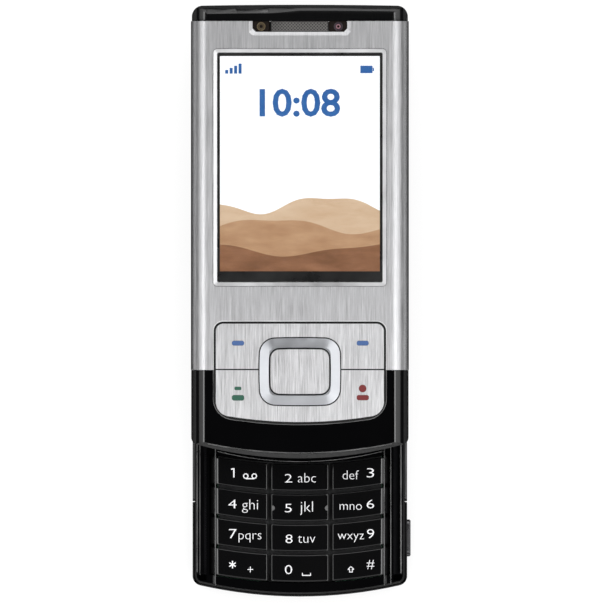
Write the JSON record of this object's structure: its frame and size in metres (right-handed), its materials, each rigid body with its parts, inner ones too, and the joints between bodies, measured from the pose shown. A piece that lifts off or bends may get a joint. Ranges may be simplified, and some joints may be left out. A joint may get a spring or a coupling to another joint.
{
  "type": "slider phone",
  "caption": "Slider mobile phone, shown open: a steel-faced display half slides along a rounded keypad half and shows the number keys.",
  "frame": {"origin": "centre of the lower half's back face, with the phone lying on its back and slid open", "axes": "+X to the right seen from the front, +Y towards the earpiece end, +Z out of the display"},
  "size_m": [0.047, 0.1264, 0.0164],
  "materials": {
    "brushed_cover_steel": "brushed",
    "black_gloss": "gloss",
    "black_moulding": "satin",
    "rear_cover_black": "satin",
    "slide_steel": "satin",
    "runner_nylon": "satin",
    "rail_steel": "blackened",
    "window_glass": "polished",
    "display_glass": "gloss",
    "tray_steel": "satin",
    "mesh_weave": "woven",
    "dark_tile": "gloss",
    "speaker_body": "satin",
    "board_green": "solder mask",
    "silicone": "matte",
    "dome_film": "satin",
    "brushed_keys": "brushed",
    "satin_ring": "satin",
    "key_black": "gloss",
    "screw_steel": "blackened",
    "can_tin": "satin",
    "battery_shell": "satin",
    "contact_gold": "plated",
    "lens_glass": "polished",
    "flash_lens": "polished",
    "motor_steel": "satin",
    "antenna_plastic": "satin",
    "spring_steel": "satin",
    "flex_film": "satin",
    "silver_key": "satin"
  },
  "bodies": {
    "base": {"keypad_frame": "black_gloss", "base_housing": "black_gloss", "guide_rails": "rail_steel", "keypad_mat": "silicone", "keypad_dome_sheet": "dome_film", "main_board": "board_green", "shield_cans": "can_tin", "battery": "battery_shell", "battery_contacts": "contact_gold", "camera_panel": "black_gloss", "camera_module": "speaker_body", "camera_window": "lens_glass", "flash_leds": "flash_lens", "loudspeaker": "speaker_body", "vibra_motor": "motor_steel", "antenna": "antenna_plastic", "sockets": "speaker_body", "slide_springs": "spring_steel", "slide_flex": "flex_film", "base_screws": "screw_steel"},
    "slider": {"front_cover": "brushed_cover_steel", "top_cap": "black_gloss", "chin_cover": "black_gloss", "slider_frame": "black_moulding", "slider_back_cover": "rear_cover_black", "slide_plate": "slide_steel", "slide_runner_left": "runner_nylon", "slide_runner_right": "runner_nylon", "display_window": "window_glass", "display_module": "display_glass", "display_frame": "tray_steel", "earpiece_mesh": "mesh_weave", "earpiece_speaker": "speaker_body", "light_sensor": "dark_tile", "front_camera": "dark_tile", "ui_board": "board_green", "ui_key_mat": "silicone", "slider_screws": "screw_steel"},
    "soft_keys": {"soft_key_plate": "brushed_keys"},
    "call_keys": {"call_key_plate": "brushed_keys"},
    "nav_actuator": {"nav_carrier": "black_moulding"},
    "ring": {"nav_ring": "satin_ring"},
    "select": {"select_key": "brushed_keys"},
    "rear_cover": {"back_cover": "brushed_cover_steel"},
    "latch": {"cover_latch": "black_gloss"},
    "rocker": {"volume_rocker": "black_gloss"},
    "shutter_key": {"camera_key": "silver_key"},
    "power": {"power_key": "silver_key"},
    "key_1": {"key_1": "key_black"},
    "key_2": {"key_2": "key_black"},
    "key_3": {"key_3": "key_black"},
    "key_4": {"key_4": "key_black"},
    "key_5": {"key_5": "key_black"},
    "key_6": {"key_6": "key_black"},
    "key_7": {"key_7": "key_black"},
    "key_8": {"key_8": "key_black"},
    "key_9": {"key_9": "key_black"},
    "key_star": {"key_star": "key_black"},
    "key_0": {"key_0": "key_black"},
    "key_hash": {"key_hash": "key_black"}
  },
  "joints": [
    {"name": "slide", "type": "slide", "parent": "base", "child": "slider", "axis": [0, -1, 0], "range_m": [0, 0.0297], "deforming": ["slide_springs", "slide_flex"]},
    {"name": "soft_keys_rock", "type": "hinge", "parent": "slider", "child": "soft_keys", "pos_m": [0, 0.0055, 0.0142], "axis": [0, 1, 0], "range_deg": [-1.1, 1.1], "stiffness_Nm_per_rad": 0.6, "deforming": ["ui_key_mat"]},
    {"name": "call_keys_rock", "type": "hinge", "parent": "slider", "child": "call_keys", "pos_m": [0, -0.0055, 0.0142], "axis": [0, 1, 0], "range_deg": [-1.1, 1.1], "stiffness_Nm_per_rad": 0.6, "deforming": ["ui_key_mat"]},
    {"name": "ring_up_down", "type": "hinge", "parent": "slider", "child": "nav_actuator", "pos_m": [0, -0.00015, 0.0138], "axis": [1, 0, 0], "range_deg": [-1.3, 1.3], "stiffness_Nm_per_rad": 0.6, "deforming": ["ui_key_mat"]},
    {"name": "ring_left_right", "type": "hinge", "parent": "nav_actuator", "child": "ring", "pos_m": [0, -0.00015, 0.0138], "axis": [0, 1, 0], "range_deg": [-1.3, 1.3], "stiffness_Nm_per_rad": 0.6, "deforming": ["ui_key_mat"]},
    {"name": "select_press", "type": "slide", "parent": "slider", "child": "select", "axis": [0, 0, -1], "range_m": [0, 0.0003], "stiffness_N_per_m": 900, "deforming": ["ui_key_mat"]},
    {"name": "key_1_press", "type": "slide", "parent": "base", "child": "key_1", "axis": [0, 0, -1], "range_m": [0, 0.00035], "stiffness_N_per_m": 900, "deforming": ["keypad_mat"]},
    {"name": "key_2_press", "type": "slide", "parent": "base", "child": "key_2", "axis": [0, 0, -1], "range_m": [0, 0.00035], "stiffness_N_per_m": 900, "deforming": ["keypad_mat"]},
    {"name": "key_3_press", "type": "slide", "parent": "base", "child": "key_3", "axis": [0, 0, -1], "range_m": [0, 0.00035], "stiffness_N_per_m": 900, "deforming": ["keypad_mat"]},
    {"name": "key_4_press", "type": "slide", "parent": "base", "child": "key_4", "axis": [0, 0, -1], "range_m": [0, 0.00035], "stiffness_N_per_m": 900, "deforming": ["keypad_mat"]},
    {"name": "key_5_press", "type": "slide", "parent": "base", "child": "key_5", "axis": [0, 0, -1], "range_m": [0, 0.00035], "stiffness_N_per_m": 900, "deforming": ["keypad_mat"]},
    {"name": "key_6_press", "type": "slide", "parent": "base", "child": "key_6", "axis": [0, 0, -1], "range_m": [0, 0.00035], "stiffness_N_per_m": 900, "deforming": ["keypad_mat"]},
    {"name": "key_7_press", "type": "slide", "parent": "base", "child": "key_7", "axis": [0, 0, -1], "range_m": [0, 0.00035], "stiffness_N_per_m": 900, "deforming": ["keypad_mat"]},
    {"name": "key_8_press", "type": "slide", "parent": "base", "child": "key_8", "axis": [0, 0, -1], "range_m": [0, 0.00035], "stiffness_N_per_m": 900, "deforming": ["keypad_mat"]},
    {"name": "key_9_press", "type": "slide", "parent": "base", "child": "key_9", "axis": [0, 0, -1], "range_m": [0, 0.00035], "stiffness_N_per_m": 900, "deforming": ["keypad_mat"]},
    {"name": "key_star_press", "type": "slide", "parent": "base", "child": "key_star", "axis": [0, 0, -1], "range_m": [0, 0.00035], "stiffness_N_per_m": 900, "deforming": ["keypad_mat"]},
    {"name": "key_0_press", "type": "slide", "parent": "base", "child": "key_0", "axis": [0, 0, -1], "range_m": [0, 0.00035], "stiffness_N_per_m": 900, "deforming": ["keypad_mat"]},
    {"name": "key_hash_press", "type": "slide", "parent": "base", "child": "key_hash", "axis": [0, 0, -1], "range_m": [0, 0.00035], "stiffness_N_per_m": 900, "deforming": ["keypad_mat"]},
    {"name": "volume_rock", "type": "hinge", "parent": "base", "child": "rocker", "pos_m": [0.0213, 0.02895, 0.0038], "axis": [0, 0, 1], "range_deg": [-1.3, 1.3], "stiffness_Nm_per_rad": 0.6},
    {"name": "camera_key_press", "type": "slide", "parent": "base", "child": "shutter_key", "axis": [-1, 0, 0], "range_m": [0, 0.0004], "stiffness_N_per_m": 900},
    {"name": "power_key_press", "type": "slide", "parent": "base", "child": "power", "axis": [0, -1, 0], "range_m": [0, 0.0003], "stiffness_N_per_m": 900},
    {"name": "rear_cover_lift", "type": "hinge", "parent": "base", "child": "rear_cover", "pos_m": [0, 0.01736, 0], "axis": [1, 0, 0], "range_deg": [0, 22]},
    {"name": "latch_slide", "type": "slide", "parent": "base", "child": "latch", "axis": [0, -1, 0], "range_m": [0, 0.0009], "stiffness_N_per_m": 300}
  ]
}
